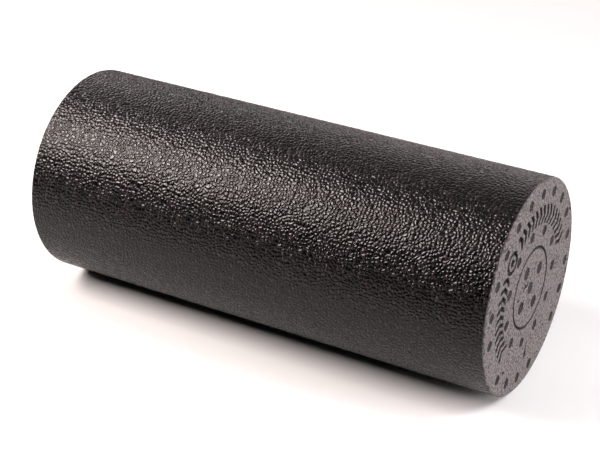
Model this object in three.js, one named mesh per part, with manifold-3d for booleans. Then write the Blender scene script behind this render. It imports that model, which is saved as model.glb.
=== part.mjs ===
// Foam roller: a firm massage roller moulded from black polypropylene bead foam, lying on its side.
// X runs along the roller, Z is up and the origin is on the floor under the roller's middle.
// Lengths are in millimetres and angles in degrees.
import * as THREE from "three";
import { mergeVertices } from "three/addons/utils/BufferGeometryUtils.js";
import Module from "manifold-3d";

const wasm = await Module();
wasm.setup();

// The roller as a whole.
const LENGTH = 330;
const RADIUS = 70; // to the middle of each flat
const SIDES = 96; // flats round the roller, one of them underneath
const RIM_ROUND = 2; // rounding between the side and each end face
const RIM_STEPS = 3;

// The round seam on each end face, between the bored body and the core pressed into it.
const SEAM_RADIUS = 26;
const SEAM_GAP = 0.3;
const SEAM_CHAMFER = 0.9;

// Steam vent marks: shallow round recesses crossed by ribs that stop just under the face.
const VENT_SIDES = 10;
const VENT_DEPTH = 0.9;
const RIB_WIDTH = 0.8;
const RIB_SINK = 0.3;
const VENT_TURN = 47; // the ribs of each vent are turned this much from the last one's
const CORE_VENT = { diameter: 8, ribs: 3, pitch: 1.9 };
const BODY_VENT = { diameter: 6.6, ribs: 2, pitch: 2.1 };

// The rings that the vents stand in. Places counted as missing have no vent.
const CORE_RING = { radius: 15.5, count: 4, start: 29, missing: [] };
const INNER_RING = { radius: 36.4, count: 11, start: 29, missing: [] };
const OUTER_RING = { radius: 61, count: 20, start: 8, missing: [11, 16] };

// The engraved ornament: a ring with a dot in it, and a row of chevrons running off each side.
const ORNAMENT_RADIUS = 47;
const ORNAMENT_ANGLE = 134;
const ORNAMENT_DEPTH = 2;
const EMBLEM_RADIUS = 7.5;
const EMBLEM_STROKE = 2.4;
const EMBLEM_DOT_RADIUS = 2.5;
const EMBLEM_SIDES = 24;
const CHEVRON_TALL = 12;
const CHEVRON_STROKE = 2.9;
const CHEVRON_LEAN = 3;
const CHEVRON_PITCH = 7.2;
const CHEVRON_FIRST = 16; // from the emblem to the first chevron of each row
const CHEVRONS_RIGHT = 15;
const CHEVRONS_LEFT = 10;

const CUT_CLEAR = 1; // how far every cutter stands out of the face it cuts

const HALF = LENGTH / 2;
// Corners of the many-sided outline lie a little outside the radius of its flats.
const CORNER = 1 / Math.cos(Math.PI / SIDES);

const foam = new THREE.MeshStandardMaterial({ color: 0x1d1b1c, roughness: 0.55, metalness: 0 });
const coreFoam = new THREE.MeshStandardMaterial({ color: 0x262325, roughness: 0.75, metalness: 0 });

// A closed three.js geometry as a manifold solid.
function solidOf(geometry) {
  geometry.deleteAttribute("normal");
  geometry.deleteAttribute("uv");
  const merged = mergeVertices(geometry, 1e-4);
  return new wasm.Manifold(
    new wasm.Mesh({
      numProp: 3,
      vertProperties: merged.attributes.position.array,
      triVerts: new Uint32Array(merged.index.array),
    }),
  );
}

// A solid as a named mesh.
function meshOf(name, solid, material) {
  const { vertProperties, triVerts } = solid.getMesh();
  const geometry = new THREE.BufferGeometry();
  geometry.setAttribute("position", new THREE.BufferAttribute(vertProperties, 3));
  geometry.setIndex(new THREE.BufferAttribute(triVerts, 1));
  geometry.computeVertexNormals();
  const mesh = new THREE.Mesh(geometry, material);
  mesh.name = name;
  return mesh;
}

// A quarter round in a profile, as points [radius, along], swept from one angle to the other.
function quarterRound(radius, along, from, to) {
  const points = [];
  for (let step = 0; step <= RIM_STEPS; step++) {
    const turn = THREE.MathUtils.degToRad(from + ((to - from) * step) / RIM_STEPS);
    points.push([radius + RIM_ROUND * Math.cos(turn), along + RIM_ROUND * Math.sin(turn)]);
  }
  return points;
}

// A profile of [radius, along] points turned round the roller's axis, with a flat underneath.
function turned(profile) {
  const points = profile.map(([radius, along]) => new THREE.Vector2(radius * CORNER, along));
  const geometry = new THREE.LatheGeometry(points, SIDES, Math.PI / SIDES);
  geometry.rotateZ(-Math.PI / 2);
  geometry.translate(0, 0, RADIUS);
  return solidOf(geometry);
}

function bodyBlank() {
  const bore = SEAM_RADIUS + SEAM_GAP / 2;
  const mouth = bore + SEAM_CHAMFER;
  const rim = RADIUS - RIM_ROUND;
  return turned([
    [bore, SEAM_CHAMFER - HALF],
    [mouth, -HALF],
    ...quarterRound(rim, RIM_ROUND - HALF, -90, 0),
    ...quarterRound(rim, HALF - RIM_ROUND, 0, 90),
    [mouth, HALF],
    [bore, HALF - SEAM_CHAMFER],
    [bore, SEAM_CHAMFER - HALF],
  ]);
}

function coreBlank() {
  const radius = SEAM_RADIUS - SEAM_GAP / 2;
  return turned([
    [0, -HALF],
    [radius - SEAM_CHAMFER, -HALF],
    [radius, SEAM_CHAMFER - HALF],
    [radius, HALF - SEAM_CHAMFER],
    [radius - SEAM_CHAMFER, HALF],
    [0, HALF],
  ]);
}

// The cutters below are made on a flat drawing of an end face: x to the right, y up, z out of it.

// A round cutter at the drawing's centre.
function disc(radius, sides, depth) {
  const geometry = new THREE.CylinderGeometry(radius, radius, depth + CUT_CLEAR, sides);
  geometry.rotateX(Math.PI / 2);
  geometry.translate(0, 0, (CUT_CLEAR - depth) / 2);
  return solidOf(geometry);
}

// A vent's cutter, with its ribs left standing.
function vent(kind, turn) {
  const ribTall = VENT_DEPTH - RIB_SINK;
  const parts = [];
  for (let rib = 0; rib < kind.ribs; rib++) {
    const box = new THREE.BoxGeometry(kind.diameter, RIB_WIDTH, ribTall);
    box.translate(0, (rib - (kind.ribs - 1) / 2) * kind.pitch, ribTall / 2 - VENT_DEPTH);
    parts.push(solidOf(box));
  }
  const ribs = wasm.Manifold.union(parts);
  return disc(kind.diameter / 2, VENT_SIDES, VENT_DEPTH).subtract(ribs).rotate([0, 0, turn]);
}

// A cutter moved from the drawing's centre out to a radius and round to an angle.
function placed(cutter, radius, angle) {
  return cutter.translate([radius, 0, 0]).rotate([0, 0, angle]);
}

function ventRing(kind, ring) {
  const vents = [];
  for (let index = 0; index < ring.count; index++) {
    if (ring.missing.includes(index)) {
      continue;
    }
    const angle = ring.start + (index * 360) / ring.count;
    vents.push(placed(vent(kind, index * VENT_TURN), ring.radius, angle));
  }
  return vents;
}

function emblem() {
  const outer = disc(EMBLEM_RADIUS, EMBLEM_SIDES, ORNAMENT_DEPTH);
  const inner = disc(EMBLEM_RADIUS - EMBLEM_STROKE, EMBLEM_SIDES, ORNAMENT_DEPTH + CUT_CLEAR);
  const dot = disc(EMBLEM_DOT_RADIUS, EMBLEM_SIDES / 2, ORNAMENT_DEPTH);
  return outer.subtract(inner).add(dot);
}

// One chevron on the right-hand side of the drawing, pointing down it.
function chevron() {
  const halfTall = CHEVRON_TALL / 2;
  const halfStroke = CHEVRON_STROKE / 2;
  const outline = new THREE.Shape([
    new THREE.Vector2(-halfTall, halfStroke),
    new THREE.Vector2(-halfTall, -halfStroke),
    new THREE.Vector2(0, -halfStroke - CHEVRON_LEAN),
    new THREE.Vector2(halfTall, -halfStroke),
    new THREE.Vector2(halfTall, halfStroke),
    new THREE.Vector2(0, halfStroke - CHEVRON_LEAN),
  ]);
  const depth = ORNAMENT_DEPTH + CUT_CLEAR;
  const geometry = new THREE.ExtrudeGeometry(outline, { depth, bevelEnabled: false });
  geometry.translate(0, 0, -ORNAMENT_DEPTH);
  return solidOf(geometry);
}

function chevronRow(count, start, pitch) {
  const row = [];
  for (let index = 0; index < count; index++) {
    row.push(placed(chevron(), ORNAMENT_RADIUS, start + index * pitch));
  }
  return row;
}

function ornament() {
  const start = ORNAMENT_ANGLE - CHEVRON_FIRST;
  const leftStart = ORNAMENT_ANGLE + CHEVRON_FIRST;
  return [
    placed(emblem(), ORNAMENT_RADIUS, ORNAMENT_ANGLE),
    ...chevronRow(CHEVRONS_RIGHT, start, -CHEVRON_PITCH),
    ...chevronRow(CHEVRONS_LEFT, leftStart, CHEVRON_PITCH),
  ];
}

// A blank with the same cutters taken out of both of its end faces.
function cutBothEnds(blank, cutters) {
  const near = wasm.Manifold.union(cutters)
    .rotate([90, 0, 90])
    .translate([HALF, 0, RADIUS]);
  const far = near.rotate([0, 0, 180]);
  return blank.subtract(near).subtract(far);
}

function rollerBody() {
  const cutters = [
    ...ventRing(BODY_VENT, INNER_RING),
    ...ventRing(BODY_VENT, OUTER_RING),
    ...ornament(),
  ];
  return meshOf("roller_body", cutBothEnds(bodyBlank(), cutters), foam);
}

function centreCore() {
  const cutters = [vent(CORE_VENT, 0), ...ventRing(CORE_VENT, CORE_RING)];
  return meshOf("centre_core", cutBothEnds(coreBlank(), cutters), coreFoam);
}

const roller = new THREE.Group();
roller.name = "foam_roller";
roller.add(rollerBody(), centreCore());

export default roller;
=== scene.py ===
"""Foam roller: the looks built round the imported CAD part, in metres and in the part's own frame.

X runs along the roller, Z is up and the origin is on the floor under the roller's middle. Both pieces
are turned again as dense meshes, so that the pebbled bead skin and the marks on the end faces are real
geometry. An end face is drawn with "right" and "up" as seen by someone facing it.
"""

import math

import bpy
import numpy as np
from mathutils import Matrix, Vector


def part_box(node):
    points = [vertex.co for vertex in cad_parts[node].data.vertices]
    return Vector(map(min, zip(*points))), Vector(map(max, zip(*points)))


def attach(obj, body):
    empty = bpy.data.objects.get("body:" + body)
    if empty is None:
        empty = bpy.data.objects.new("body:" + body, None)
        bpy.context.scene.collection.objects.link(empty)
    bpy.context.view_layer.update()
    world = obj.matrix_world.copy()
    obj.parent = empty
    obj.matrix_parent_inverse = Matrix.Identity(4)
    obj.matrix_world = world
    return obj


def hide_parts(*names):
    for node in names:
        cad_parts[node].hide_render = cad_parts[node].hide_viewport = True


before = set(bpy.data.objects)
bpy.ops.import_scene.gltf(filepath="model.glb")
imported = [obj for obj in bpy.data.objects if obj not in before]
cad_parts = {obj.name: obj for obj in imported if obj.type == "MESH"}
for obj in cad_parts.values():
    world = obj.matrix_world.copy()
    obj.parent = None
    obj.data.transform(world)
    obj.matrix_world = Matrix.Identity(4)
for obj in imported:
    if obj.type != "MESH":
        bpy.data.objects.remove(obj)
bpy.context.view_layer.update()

MM = 0.001


def half_size(node):
    """Half the length of a CAD node along the roller, and half its height."""
    low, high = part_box(node)
    return (high[0] - low[0]) / 2, (high[2] - low[2]) / 2


HALF, RADIUS = half_size("roller_body")
CORE_RADIUS = half_size("centre_core")[1]
AXIS_HEIGHT = RADIUS

# The seam between core and body, and the rounded rims.
SEAM_GAP = 0.3 * MM
SEAM_CHAMFER = 0.9 * MM
RIM_ROUND = 2 * MM

# How finely the meshes are divided.
BODY_DIVISIONS = 1140
SIDE_ROWS = 780
FACE_RINGS = 120
RIM_STEPS = 9
CORE_DIVISIONS = 360
CORE_RINGS = 62
CHAMFER_STEPS = 3
WALL_ROWS = 12  # along the bore, and along the core inside it

# The pebbled skin of the side.
PEBBLE_SIZE = 2.45 * MM
PEBBLE_HEIGHT = 0.46 * MM
PEBBLE_VALLEY = 0.38  # width of the valleys between pebbles, as a share of a pebble
PEBBLE_DOME = 0.55  # how much a pebble drops from its middle to its edge
PEBBLE_UNEVEN = 0.35  # how much lower the lowest pebbles are
PEBBLE_WARP = 0.9 * MM  # how far pebble outlines wander
WARP_SIZE = 1.3 * PEBBLE_SIZE
CRINKLE_SIZE = 1.3 * MM  # smaller creases across the pebbles
CRINKLE_SHARE = 0.2  # their depth, as a share of the pebbles' height
CREASE_WIDTH = 0.6  # width of a crease's slope, as a share of a crinkle or a grain
PEBBLE_ON_RIM = 0.35  # share of the pebbles' height that is left where the rim meets the end face

# Over the rim, how far a surface has turned towards the end face runs from 0 to 1.
RIM_FADE_END = 0.9  # the pebbles stop fading out here
FACE_LOOK_FROM = (0.3, 0.75)  # the end face's colour takes over between these

# The finer grain of the end faces.
GRAIN_SIZE = 1.5 * MM
GRAIN_HEIGHT = 0.12 * MM
GRAIN_LEVEL = 0.7  # share of the grain's height that lies below the face
BEAD_SIZE = 3.6 * MM
BEAD_WARP = 0.8 * MM
BEAD_JOINT = 0.05 * MM  # depth of the joints between beads
BEAD_JOINT_WIDTH = 0.25  # as a share of a bead
VOID_SHARE = 0.07  # share of the beads with an open gap beside them
VOID_FROM = (0.35, 0.55)  # a gap opens between these distances from its bead's middle, in beads
VOID_DEPTH = 0.5 * MM

# The vent marks.
VENT_DEPTH = 0.9 * MM
RIB_WIDTH = 0.8 * MM
RIB_SINK = 0.3 * MM
VENT_TURN = 47  # degrees that the ribs of each vent are turned from the last one's
CORE_VENT = {"radius": 4.0 * MM, "ribs": 3, "pitch": 1.9 * MM}
BODY_VENT = {"radius": 3.3 * MM, "ribs": 2, "pitch": 2.1 * MM}
CORE_RING = {"radius": 15.5 * MM, "count": 4, "start": 29, "missing": ()}
INNER_RING = {"radius": 36.4 * MM, "count": 11, "start": 29, "missing": ()}
OUTER_RING = {"radius": 61.0 * MM, "count": 20, "start": 8, "missing": (11, 16)}

# The ornament: a ring with a dot in it, and a row of chevrons running off each side.
ORNAMENT_RADIUS = 47 * MM
ORNAMENT_ANGLE = 134
ORNAMENT_DEPTH = 2 * MM
EMBLEM_RADIUS = 7.5 * MM
EMBLEM_STROKE = 2.4 * MM
EMBLEM_DOT_RADIUS = 2.5 * MM
CHEVRON_TALL = 12 * MM
CHEVRON_STROKE = 2.9 * MM
CHEVRON_LEAN = 3 * MM
CHEVRON_PITCH = 7.2
CHEVRON_FIRST = 16
CHEVRONS_RIGHT = 15
CHEVRONS_LEFT = 10

# Small open cracks between beads, each a line of points (right, up).
CRACK_WIDTH = 1.5 * MM
CRACK_DEPTH = 0.9 * MM
BODY_CRACKS = (
    ((1.2, -41.0), (-0.2, -44.5), (0.6, -50.0)),
    ((-0.2, -44.5), (-1.8, -49.5)),
    ((62.5, -18.0), (62.5, -20.0)),
    ((60.5, 28.0), (61.5, 25.5)),
    ((-62.0, 17.0), (-63.0, 15.0)),
    ((-34.5, -42.5), (-37.0, -41.5)),
)
CORE_CRACKS = (
    ((-10.8, 3.5), (-8.8, 5.8), (-7.0, 4.2), (-4.5, 5.2)),
    ((-18.5, 0.0), (-20.0, 1.0)),
)

EDGE_SOFT = 0.4 * MM  # width over which a recess's wall drops
FULLY_PRESSED = 1 * MM  # depth from which a mark has no grain left in it

# The camera, at the photograph's angle.
CAMERA_AZIMUTH = 29.8
CAMERA_ELEVATION = 28.99
CAMERA_DISTANCE = 1.0422
CAMERA_PAN = 0.12
CAMERA_TILT = -0.06
CAMERA_LENS = 94.99

FLOOR_SIZE = 4.0
FLOOR_FADE = (0.6, 1.0)  # the floor fades out between these distances from its middle


# ---- Patterns ----


def smooth_step(value, low, high):
    """0 below low, 1 above high, and a smooth climb between them."""
    t = np.clip((value - low) / (high - low), 0, 1)
    return t * t * (3 - 2 * t)


def cell_pattern(across, along, size, wrap=None, seed=0, jitter=0.9):
    """Distances, in cells, to the nearest and second nearest of scattered cell centres, and the
    nearest cell's own random number. wrap is the length after which the pattern repeats across."""
    rng = np.random.default_rng(seed)
    columns = round(wrap / size) if wrap else int(np.ptp(across) / size) + 6
    width = wrap / columns if wrap else size
    low = 0 if wrap else across.min() - 2 * size
    p = (across - low) / width
    q = (along - along.min()) / size + 2
    rows = int(q.max()) + 4
    centres = 0.5 + jitter * (rng.random((columns, rows, 2)) - 0.5)
    own = rng.random((columns, rows))
    column, row = np.floor(p).astype(int), np.floor(q).astype(int)
    first = np.full(p.shape, np.inf)
    second = np.full(p.shape, np.inf)
    number = np.zeros(p.shape)
    for i in (-1, 0, 1):
        for j in (-1, 0, 1):
            c, r = (column + i) % columns, row + j
            away_p = column + i + centres[c, r, 0] - p
            away_q = row + j + centres[c, r, 1] - q
            distance = np.hypot(away_p, away_q)
            nearer = distance < first
            second = np.where(nearer, first, np.minimum(second, distance))
            number = np.where(nearer, own[c, r], number)
            first = np.minimum(first, distance)
    return first, second, number


def wave_pattern(across, along, size, wrap=None, seed=0):
    """Smooth noise from -1 to 1 with bumps about size apart, repeating after wrap across."""
    rng = np.random.default_rng(seed)
    columns = max(round(wrap / size), 1) if wrap else int(np.ptp(across) / size) + 4
    width = wrap / columns if wrap else size
    low = 0 if wrap else across.min() - size
    p = (across - low) / width
    q = (along - along.min()) / size + 1
    values = rng.uniform(-1, 1, (columns, int(q.max()) + 3))
    column, row = np.floor(p).astype(int), np.floor(q).astype(int)
    u, v = smooth_step(p - column, 0, 1), smooth_step(q - row, 0, 1)
    c0, c1 = column % columns, (column + 1) % columns
    near = values[c0, row] * (1 - u) + values[c1, row] * u
    far = values[c0, row + 1] * (1 - u) + values[c1, row + 1] * u
    return near * (1 - v) + far * v


def pebbles(around, along):
    """Height of the pebbled skin, about 0 in the valleys and 1 on the tallest pebbles, and a random
    number for each pebble."""
    wrap = 2 * math.pi * RADIUS
    warp_a = wave_pattern(around, along, WARP_SIZE, wrap, seed=11)
    warp_b = wave_pattern(around, along, WARP_SIZE, wrap, seed=12)
    around = around + PEBBLE_WARP * warp_a
    along = along + PEBBLE_WARP * warp_b
    first, second, number = cell_pattern(around, along, PEBBLE_SIZE, wrap, seed=13)
    plateau = smooth_step(second - first, 0, PEBBLE_VALLEY)
    dome = 1 - PEBBLE_DOME * first**2
    tall = 1 - PEBBLE_UNEVEN + PEBBLE_UNEVEN * number
    first, second, _ = cell_pattern(around, along, CRINKLE_SIZE, wrap, seed=14)
    crinkle = smooth_step(second - first, 0, CREASE_WIDTH) - 1
    return plateau * dome * tall + CRINKLE_SHARE * crinkle, number


# ---- Marks on an end face ----


def polar(radius, degrees):
    turn = math.radians(degrees)
    return radius * math.cos(turn), radius * math.sin(turn)


def turned_to(right, up, degrees):
    """The same points read in axes turned by this many degrees."""
    c, s = math.cos(math.radians(degrees)), math.sin(math.radians(degrees))
    return right * c + up * s, up * c - right * s


def inside(distance_in):
    """1 well inside an outline and 0 outside it, from how far a point lies inside it."""
    return smooth_step(distance_in, -EDGE_SOFT / 2, EDGE_SOFT / 2)


def press_vent(depth, right, up, kind, centre, turn):
    """Sinks one ribbed vent mark into the depth map."""
    a, b = turned_to(right - centre[0], up - centre[1], turn)
    near = np.hypot(a, b) < kind["radius"] + EDGE_SOFT
    a, b = a[near], b[near]
    mouth = inside(kind["radius"] - np.hypot(a, b))
    rib = np.zeros_like(a)
    for index in range(kind["ribs"]):
        middle = (index - (kind["ribs"] - 1) / 2) * kind["pitch"]
        rib = np.maximum(rib, inside(RIB_WIDTH / 2 - np.abs(b - middle)))
    depth[near] = np.maximum(depth[near], mouth * (VENT_DEPTH - rib * (VENT_DEPTH - RIB_SINK)))


def press_vent_ring(depth, right, up, kind, ring):
    for index in range(ring["count"]):
        if index in ring["missing"]:
            continue
        angle = ring["start"] + index * 360 / ring["count"]
        centre = polar(ring["radius"], angle)
        press_vent(depth, right, up, kind, centre, angle + index * VENT_TURN)


def press_chevron(depth, right, up, angle):
    """Sinks one chevron of the ornament, pointing clockwise, into the depth map."""
    a, b = turned_to(right, up, angle)
    a = a - ORNAMENT_RADIUS
    near = (np.abs(a) < CHEVRON_TALL) & (np.abs(b) < CHEVRON_TALL)
    a, b = a[near], b[near]
    middle = -CHEVRON_LEAN * (1 - np.abs(a) / (CHEVRON_TALL / 2))
    mark = inside(CHEVRON_STROKE / 2 - np.abs(b - middle)) * inside(CHEVRON_TALL / 2 - np.abs(a))
    depth[near] = np.maximum(depth[near], mark * ORNAMENT_DEPTH)


def press_emblem(depth, right, up):
    centre = polar(ORNAMENT_RADIUS, ORNAMENT_ANGLE)
    out = np.hypot(right - centre[0], up - centre[1])
    ring = EMBLEM_RADIUS - EMBLEM_STROKE / 2
    mark = np.maximum(
        inside(EMBLEM_STROKE / 2 - np.abs(out - ring)), inside(EMBLEM_DOT_RADIUS - out)
    )
    np.maximum(depth, mark * ORNAMENT_DEPTH, out=depth)


def open_cracks(depth, right, up, cracks):
    """Opens thin cracks in the depth map, each along a line of points in millimetres."""
    for crack in cracks:
        for start, end in zip(crack, crack[1:]):
            x, y = right - start[0] * MM, up - start[1] * MM
            run, rise = (end[0] - start[0]) * MM, (end[1] - start[1]) * MM
            share = np.clip((x * run + y * rise) / (run**2 + rise**2), 0, 1)
            away = np.hypot(x - share * run, y - share * rise)
            np.maximum(depth, inside(CRACK_WIDTH / 2 - away) * CRACK_DEPTH, out=depth)


def body_marks(right, up):
    """How deep the body's end face is pressed in at each point."""
    depth = np.zeros_like(right)
    open_cracks(depth, right, up, BODY_CRACKS)
    press_vent_ring(depth, right, up, BODY_VENT, INNER_RING)
    press_vent_ring(depth, right, up, BODY_VENT, OUTER_RING)
    press_emblem(depth, right, up)
    for index in range(CHEVRONS_RIGHT):
        angle = ORNAMENT_ANGLE - CHEVRON_FIRST - index * CHEVRON_PITCH
        press_chevron(depth, right, up, angle)
    for index in range(CHEVRONS_LEFT):
        angle = ORNAMENT_ANGLE + CHEVRON_FIRST + index * CHEVRON_PITCH
        press_chevron(depth, right, up, angle)
    return depth


def core_marks(right, up):
    """How deep the core's end face is pressed in at each point."""
    depth = np.zeros_like(right)
    open_cracks(depth, right, up, CORE_CRACKS)
    press_vent(depth, right, up, CORE_VENT, (0, 0), 0)
    press_vent_ring(depth, right, up, CORE_VENT, CORE_RING)
    return depth


def face_grain(right, up, seed):
    """Height of an end face's moulded grain, with joints and a few open gaps between beads, and how
    much each point lies in such a gap."""
    first, second, _ = cell_pattern(right, up, GRAIN_SIZE, seed=seed)
    height = GRAIN_HEIGHT * (smooth_step(second - first, 0, CREASE_WIDTH) - GRAIN_LEVEL)
    warp = BEAD_WARP * wave_pattern(right, up, BEAD_SIZE, seed=seed + 1)
    first, second, number = cell_pattern(right + warp, up - warp, BEAD_SIZE, seed=seed + 2)
    joint = 1 - smooth_step(second - first, 0, BEAD_JOINT_WIDTH)
    gap = joint * (number < VOID_SHARE) * smooth_step(first, *VOID_FROM)
    return height - BEAD_JOINT * joint - VOID_DEPTH * gap, gap


def face_pattern(marks, seed):
    """A function that gives an end face's height with its marks pressed in, and how much each point lies
    in a mark or a gap, which sets the painted shade there."""

    def pattern(right, up, side):
        grain, gap = face_grain(right, up, seed + side)
        depth = marks(right, up)
        pressed = np.clip(depth / FULLY_PRESSED, 0, 1)
        return grain * (1 - pressed) - depth, np.clip(gap + pressed, 0, 1)

    return pattern


# ---- Meshes ----


def quarter(from_degrees, steps):
    """Angles of a quarter turn, without its two ends."""
    return np.radians(from_degrees + np.linspace(0, 90, steps + 2)[1:-1])


def flat_rows(side, outs):
    """Rows of an end face, each (along, out, normal along, normal out)."""
    return [(side * HALF, out, side, 0) for out in outs]


def body_rows():
    """The body's profile, from the near bore mouth over the side to the far one and back inside."""
    bore = CORE_RADIUS + SEAM_GAP
    mouth = bore + SEAM_CHAMFER
    rim_out, rim_along = RADIUS - RIM_ROUND, HALF - RIM_ROUND
    outs = np.linspace(mouth, rim_out, FACE_RINGS)
    near_rim = [
        (rim_along + RIM_ROUND * math.cos(t), rim_out + RIM_ROUND * math.sin(t), math.cos(t), math.sin(t))
        for t in quarter(0, RIM_STEPS)
    ]
    side = [(along, RADIUS, 0, 1) for along in np.linspace(rim_along, -rim_along, SIDE_ROWS)]
    far_rim = [(-along, out, -na, no) for along, out, na, no in reversed(near_rim)]
    slope = math.sqrt(0.5)
    far_mouth = [
        (-HALF + SEAM_CHAMFER * t, mouth - SEAM_CHAMFER * t, -slope, -slope)
        for t in np.linspace(0, 1, CHAMFER_STEPS + 1)[1:]
    ]
    bore_wall = [(along, bore, 0, -1) for along in np.linspace(-HALF, HALF, WALL_ROWS)[1:-1]]
    near_mouth = [(-along, out, -na, no) for along, out, na, no in reversed(far_mouth)]
    return np.array(
        flat_rows(1, outs) + near_rim + side + far_rim + flat_rows(-1, outs[::-1])
        + far_mouth + bore_wall + near_mouth
    )


def core_rows():
    """The core's profile, from the middle of its near end over its side to the far end's."""
    flat = CORE_RADIUS - SEAM_CHAMFER
    outs = np.linspace(0, flat, CORE_RINGS + 1)[1:]
    slope = math.sqrt(0.5)
    near_edge = [
        (HALF - SEAM_CHAMFER * t, flat + SEAM_CHAMFER * t, slope, slope)
        for t in np.linspace(0, 1, CHAMFER_STEPS + 1)[1:]
    ]
    side = [(along, CORE_RADIUS, 0, 1) for along in np.linspace(HALF, -HALF, WALL_ROWS)[1:-1]]
    far_edge = [(-along, out, -na, no) for along, out, na, no in reversed(near_edge)]
    return np.array(flat_rows(1, outs) + near_edge + side + far_edge + flat_rows(-1, outs[::-1]))


def grid_faces(rows, divisions, closed):
    """Vertex numbers of the quads between neighbouring rows, wrapping round the roller."""
    ring = np.arange(divisions)
    after = (ring + 1) % divisions
    last = rows if closed else rows - 1
    quads = []
    for row in range(last):
        low, high = row * divisions, (row + 1) % rows * divisions
        quads.append(np.stack([low + ring, high + ring, high + after, low + after], 1))
    return np.concatenate(quads)


def fan_faces(first, divisions, middle, towards_x):
    """Triangles facing +X or -X that close a ring of vertices onto the one in its middle."""
    ring = first + np.arange(divisions)
    after = first + (np.arange(divisions) + 1) % divisions
    pair = [ring, after] if towards_x else [after, ring]
    return np.stack([np.full(divisions, middle), *pair], 1)


def mesh_object(name, points, face_sets, layers):
    """A smooth mesh object from points, arrays of faces, and named numbers for each point."""
    mesh = bpy.data.meshes.new(name)
    mesh.vertices.add(len(points))
    mesh.vertices.foreach_set("co", points.astype(np.float32).ravel())
    corners = np.concatenate([faces.ravel() for faces in face_sets])
    sizes = np.concatenate([np.full(len(faces), faces.shape[1]) for faces in face_sets])
    mesh.loops.add(len(corners))
    mesh.loops.foreach_set("vertex_index", corners.astype(np.int32))
    mesh.polygons.add(len(sizes))
    mesh.polygons.foreach_set("loop_start", (np.cumsum(sizes) - sizes).astype(np.int32))
    mesh.update(calc_edges=True)
    mesh.shade_smooth()
    for layer, values in layers.items():
        attribute = mesh.attributes.new(layer, "FLOAT", "POINT")
        attribute.data.foreach_set("value", values.astype(np.float32))
    piece = bpy.data.objects.new(name, mesh)
    bpy.context.scene.collection.objects.link(piece)
    return piece


def on_faces(rows, angles, pattern):
    """The pattern's two results on the flat rows of both end faces, and zero on the other rows."""
    height = np.zeros((len(rows), len(angles)))
    recess = np.zeros_like(height)
    for side in (1, -1):
        chosen = np.flatnonzero(rows[:, 2] == side)
        out = rows[chosen, 1][:, None]
        right, up = side * out * np.cos(angles), out * np.sin(angles)
        height[chosen], recess[chosen] = pattern(right, up, side)
    return height, recess


def placed_points(rows, angles, height):
    """Points of a turned surface, moved out along their normals by height."""
    along = rows[:, 0, None] + rows[:, 2, None] * height
    out = rows[:, 1, None] + rows[:, 3, None] * height
    return np.stack(
        [along, out * np.cos(angles), AXIS_HEIGHT + out * np.sin(angles)], -1
    ).reshape(-1, 3)


def make_body():
    rows = body_rows()
    angles = np.arange(BODY_DIVISIONS) * 2 * math.pi / BODY_DIVISIONS
    face_height, recess = on_faces(rows, angles, face_pattern(body_marks, seed=30))
    # Painted shade: the seam's chamfers and the bore wall are made fully dark, as the deep groove's
    # shade.
    recess[rows[:, 3] < 0] = 1
    # The pebbles run over the rims, so they are laid out by distance along the profile.
    turn = np.arcsin(np.clip(rows[:, 2], -1, 1))
    along = np.clip(rows[:, 0], RIM_ROUND - HALF, HALF - RIM_ROUND) + RIM_ROUND * turn
    skin_rows = rows[:, 1] >= RADIUS - RIM_ROUND
    skin = np.zeros_like(face_height)
    tone = np.zeros_like(face_height)
    around, distance = np.meshgrid(angles * RADIUS, along[skin_rows])
    skin[skin_rows], tone[skin_rows] = pebbles(around, distance)
    flatness = np.abs(rows[:, 2, None])
    fading = (1 - PEBBLE_ON_RIM) * smooth_step(flatness, 0, RIM_FADE_END)
    share = np.where(flatness == 1, 0, 1 - fading)
    height = face_height + share * PEBBLE_HEIGHT * (skin - 1) * skin_rows[:, None]
    layers = {
        "pebble": skin.ravel(),
        "pebble_tone": tone.ravel(),
        "end_face": (smooth_step(flatness, *FACE_LOOK_FROM) + np.zeros_like(skin)).ravel(),
        "recess": recess.ravel(),
    }
    points = placed_points(rows, angles, height)
    return mesh_object("roller_body_foam", points, [grid_faces(len(rows), len(angles), True)], layers)


def make_core():
    rows = core_rows()
    angles = np.arange(CORE_DIVISIONS) * 2 * math.pi / CORE_DIVISIONS
    height, recess = on_faces(rows, angles, face_pattern(core_marks, seed=40))
    # Painted shade: the core's chamfered edges and its side inside the bore are made fully dark, as the
    # seam's shade.
    recess[rows[:, 3] > 0] = 1
    points = placed_points(rows, angles, height)
    count = len(points)
    last = count - CORE_DIVISIONS
    near_middle = points[:CORE_DIVISIONS].mean(0)
    far_middle = points[last:].mean(0)
    points = np.concatenate([points, [near_middle, far_middle]])
    faces = [
        grid_faces(len(rows), len(angles), False),
        fan_faces(0, CORE_DIVISIONS, count, True),
        fan_faces(last, CORE_DIVISIONS, count + 1, False),
    ]
    ends = np.array([recess[0].mean(), recess[-1].mean()])
    layers = {
        "end_face": np.ones(count + 2),
        "recess": np.concatenate([recess.ravel(), ends]),
    }
    return mesh_object("centre_core_foam", points, faces, layers)


# ---- Materials ----


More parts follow.
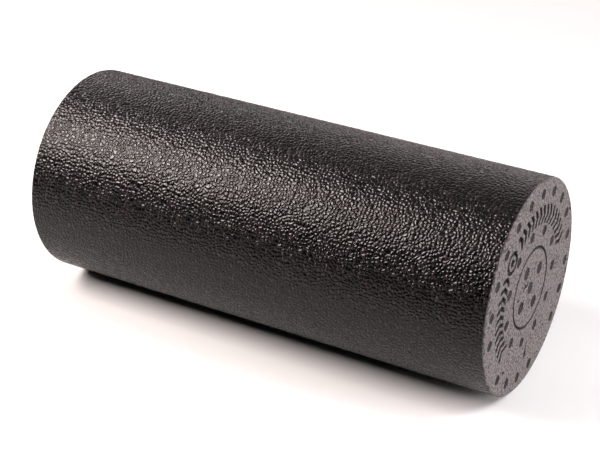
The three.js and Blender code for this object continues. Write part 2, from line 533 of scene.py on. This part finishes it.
class Nodes:
    """A material's nodes, added and joined in one line each."""

    def __init__(self, name):
        self.material = bpy.data.materials.new(name)
        self.material.use_nodes = True
        self.tree = self.material.node_tree
        self.shader = self.tree.nodes["Principled BSDF"]

    def add(self, kind, inputs=None, **settings):
        node = self.tree.nodes.new("ShaderNode" + kind)
        for key, value in settings.items():
            setattr(node, key, value)
        for key, value in (inputs or {}).items():
            self.feed(node.inputs[key], value)
        return node

    def feed(self, socket, value):
        if isinstance(value, bpy.types.NodeSocket):
            self.tree.links.new(value, socket)
        else:
            socket.default_value = value

    def attribute(self, name):
        return self.add("Attribute", attribute_name=name).outputs["Fac"]

    def noise(self, scale, detail, place):
        inputs = {"Vector": place, "Scale": scale, "Detail": detail, "Roughness": 0.6}
        return self.add("TexNoise", inputs).outputs["Fac"]

    def remap(self, value, low, high, to_low=0, to_high=1):
        inputs = {0: value, 1: low, 2: high, 3: to_low, 4: to_high}
        return self.add("MapRange", inputs).outputs["Result"]

    def total(self, a, b):
        return self.add("Math", {0: a, 1: b}, operation="ADD").outputs[0]

    def mix(self, factor, a, b, kind="RGBA"):
        node = self.add("Mix", data_type=kind)
        self.feed(node.inputs["Factor"], factor)
        self.feed(node.inputs["A"], a)
        self.feed(node.inputs["B"], b)
        return node.outputs["Result"]

    def mix_value(self, factor, a, b):
        return self.mix(factor, a, b, kind="FLOAT")


# Partly painted light: the end faces are much paler than the side, partly for their matte finish and
# partly in place of a strong light from the right.
FACE_PALE_AND_LIT = (0.100, 0.092, 0.090, 1)
FACE_DEEP = (0.013, 0.012, 0.012, 1)
# Painted shade, partly a denser skin, for the marks, gaps, cracks and seam on the end faces.
RECESS_SHADE = (0.003, 0.003, 0.003, 1)
SKIN_TOP = (0.022, 0.0155, 0.0142, 1)
# Painted shade: the valleys between pebbles are made nearly black.
SKIN_VALLEY_SHADE = (0.0011, 0.001, 0.00096, 1)
FLOOR_TONES = ((0.55, 0.56, 0.565, 1), (0.57, 0.58, 0.585, 1))

# The sizes of the noise patterns, as their number of waves in a metre.
FLOOR_BLOTCHES = 3
SKIN_BLOTCHES = 55
FACE_SPECKLE = 600
CREASES = 850
SKIN_SPECKLE = 1100
FINE_GRAIN = 1500

FACE_ROUGH = (0.72, 0.88)
SKIN_TOP_ROUGH = (0.14, 0.20)
SKIN_VALLEY_ROUGH = 0.4
FOAM_GLOSS = 0.24
CREASE_DEPTH = 0.03 * MM
FINE_DEPTH = 0.05 * MM


def end_face_colour(nodes, place):
    """Matte speckled foam, pale partly as painted light from the right, with painted shade, partly a
    denser skin, where a mark, a gap or the seam is pressed into it.
    """
    speckle = nodes.remap(nodes.noise(FACE_SPECKLE, 3, place), 0.38, 0.62)
    foam = nodes.mix(speckle, FACE_DEEP, FACE_PALE_AND_LIT)
    # Painted shade, partly a denser skin, in the marks, gaps, cracks and seam.
    pressed = nodes.remap(nodes.attribute("recess"), 0.08, 0.38)
    return nodes.mix(pressed, foam, RECESS_SHADE)


def skin_colour(nodes, place, pebble):
    """Nearly black foam, a little different on each pebble, with painted shade that darkens the valleys
    between the pebbles.
    """
    speckle = nodes.remap(nodes.noise(SKIN_SPECKLE, 2, place), 0.3, 0.7, -0.35, 0.35)
    tone = nodes.remap(nodes.attribute("pebble_tone"), 0, 1, -0.2, 0.2)
    # The pebble height adds painted shade in the valleys; the speckle and the tone are the foam's own.
    level = nodes.total(nodes.total(speckle, tone), pebble)
    return nodes.mix(nodes.remap(level, 0.5, 1.1), SKIN_VALLEY_SHADE, SKIN_TOP)


def skin_roughness(nodes, place, pebble):
    """Glossy pebbles with duller valleys."""
    top = nodes.remap(nodes.noise(SKIN_BLOTCHES, 2, place), 0.3, 0.7, *SKIN_TOP_ROUGH)
    return nodes.mix_value(nodes.remap(pebble, 0, 0.3), SKIN_VALLEY_ROUGH, top)


def foam_bump(nodes, place, fine):
    """Normals for creases and grain too fine for the mesh."""
    crease = nodes.add(
        "TexVoronoi", {"Vector": place, "Scale": CREASES, "Smoothness": 0.3}, feature="SMOOTH_F1"
    )
    creased = nodes.add(
        "Bump",
        {"Height": crease.outputs["Distance"], "Strength": 0.6, "Distance": CREASE_DEPTH},
        invert=True,
    )
    grained = nodes.add(
        "Bump",
        {"Height": fine, "Strength": 0.35, "Distance": FINE_DEPTH, "Normal": creased.outputs["Normal"]},
    )
    return grained.outputs["Normal"]


def foam_material(name, with_skin):
    """End-face foam, with the pebbled skin outside the end faces where the piece has one."""
    nodes = Nodes(name)
    place = nodes.add("TexCoord").outputs["Object"]
    fine = nodes.noise(FINE_GRAIN, 2, place)
    colour = end_face_colour(nodes, place)
    rough = nodes.remap(fine, 0.3, 0.7, *FACE_ROUGH)
    if with_skin:
        pebble = nodes.attribute("pebble")
        end_face = nodes.attribute("end_face")
        colour = nodes.mix(end_face, skin_colour(nodes, place, pebble), colour)
        rough = nodes.mix_value(end_face, skin_roughness(nodes, place, pebble), rough)
    nodes.feed(nodes.shader.inputs["Base Color"], colour)
    nodes.feed(nodes.shader.inputs["Roughness"], rough)
    nodes.feed(nodes.shader.inputs["Normal"], foam_bump(nodes, place, fine))
    nodes.shader.inputs["Specular IOR Level"].default_value = FOAM_GLOSS
    return nodes.material


def floor_material():
    """Pale floor that fades into the white background away from the roller."""
    nodes = Nodes("studio_floor")
    place = nodes.add("TexCoord").outputs["Object"]
    tone = nodes.mix(nodes.noise(FLOOR_BLOTCHES, 2, place), *FLOOR_TONES)
    nodes.feed(nodes.shader.inputs["Base Color"], tone)
    nodes.shader.inputs["Roughness"].default_value = 0.9
    nodes.shader.inputs["Specular IOR Level"].default_value = 0.1
    out = nodes.add("VectorMath", {0: place}, operation="LENGTH").outputs["Value"]
    clear = nodes.add("BsdfTransparent").outputs["BSDF"]
    fade = nodes.add("MixShader", {0: nodes.remap(out, *FLOOR_FADE)})
    nodes.feed(fade.inputs[1], nodes.shader.outputs["BSDF"])
    nodes.feed(fade.inputs[2], clear)
    nodes.feed(nodes.tree.nodes["Material Output"].inputs["Surface"], fade.outputs["Shader"])
    return nodes.material


# ---- Pieces, stage, lights and camera ----


def place_pieces():
    body = make_body()
    body.data.materials.append(foam_material("bead_foam_skin", with_skin=True))
    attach(body, "root")
    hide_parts("roller_body")
    core = make_core()
    core.data.materials.append(foam_material("core_foam_face", with_skin=False))
    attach(core, "root")
    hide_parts("centre_core")


def place_floor():
    half = FLOOR_SIZE / 2
    corners = np.array([(-half, -half, 0), (half, -half, 0), (half, half, 0), (-half, half, 0)])
    floor = mesh_object("studio_floor", corners, [np.array([[0, 1, 2, 3]])], {})
    floor.data.materials.append(floor_material())


MIDDLE = (0, 0, AXIS_HEIGHT)
PLAIN = (1, 1, 1)
WARM = (1, 0.90, 0.90)
WARMER = (1, 0.88, 0.84)

# Each softbox: its place, what it faces, width, height, watts, tint and spread in degrees.
SOFTBOXES = {
    "overhead": ((0, 0, 1.6), MIDDLE, 1.6, 1.2, 2.0, WARM, 180),
    "overhead_back": ((0, 1.0, 1.4), MIDDLE, 1.8, 1.0, 2.5, WARM, 180),
    "back": ((0, 2.0, 0.9), MIDDLE, 2.4, 1.2, 21, WARM, 180),
    "back_left": ((-1.6, 1.2, 1.0), MIDDLE, 1.0, 1.0, 13.5, WARM, 180),
    "front_left": ((-0.75, -0.55, 0.95), (-0.75, 0, AXIS_HEIGHT), 0.6, 0.6, 42, WARMER, 180),
    "right_back": ((1.4, 0.9, 0.9), MIDDLE, 0.9, 0.9, 17, WARM, 180),
    "right_low": ((1.6, 0.3, 0.3), MIDDLE, 0.9, 0.5, 46, WARM, 180),
    "right_floor": ((0.8, -0.05, 0.8), (0.34, -0.14, 0), 0.4, 0.4, 2.1, PLAIN, 75),
}


def place_softbox(name, place, target, width, height, watts, tint, spread):
    data = bpy.data.lights.new(name, "AREA")
    data.shape = "RECTANGLE"
    data.size = width
    data.size_y = height
    data.energy = watts
    data.color = tint
    data.spread = math.radians(spread)
    light = bpy.data.objects.new(name, data)
    light.location = place
    light.rotation_euler = (Vector(target) - Vector(place)).to_track_quat("-Z", "Y").to_euler()
    bpy.context.scene.collection.objects.link(light)


def place_lights():
    for name, settings in SOFTBOXES.items():
        place_softbox(name, *settings)


def place_background():
    """A white background that is only seen, and gives no light."""
    world = bpy.data.worlds.new("studio")
    bpy.context.scene.world = world
    world.use_nodes = True
    background = world.node_tree.nodes["Background"]
    background.inputs["Color"].default_value = (1, 1, 1, 1)
    background.inputs["Strength"].default_value = 1.0
    seen_by = world.cycles_visibility
    seen_by.diffuse = seen_by.glossy = seen_by.transmission = seen_by.scatter = False


def place_camera():
    azimuth, elevation = math.radians(CAMERA_AZIMUTH), math.radians(CAMERA_ELEVATION)
    back = Vector(
        (
            math.sin(azimuth) * math.cos(elevation),
            -math.cos(azimuth) * math.cos(elevation),
            math.sin(elevation),
        )
    )
    right = (-back).cross(Vector((0, 0, 1))).normalized()
    above = right.cross(-back)
    pan, tilt = math.tan(math.radians(CAMERA_PAN)), math.tan(math.radians(CAMERA_TILT))
    forward = -back + pan * right + tilt * above
    data = bpy.data.cameras.new("camera")
    data.sensor_width = 36
    data.lens = CAMERA_LENS
    camera = bpy.data.objects.new("camera", data)
    camera.location = Vector((0, 0, AXIS_HEIGHT)) + back * CAMERA_DISTANCE
    camera.rotation_euler = forward.to_track_quat("-Z", "Y").to_euler()
    bpy.context.scene.collection.objects.link(camera)
    bpy.context.scene.camera = camera


place_pieces()
place_floor()
place_lights()
place_background()
place_camera()
bpy.context.scene.view_settings.view_transform = "Standard"
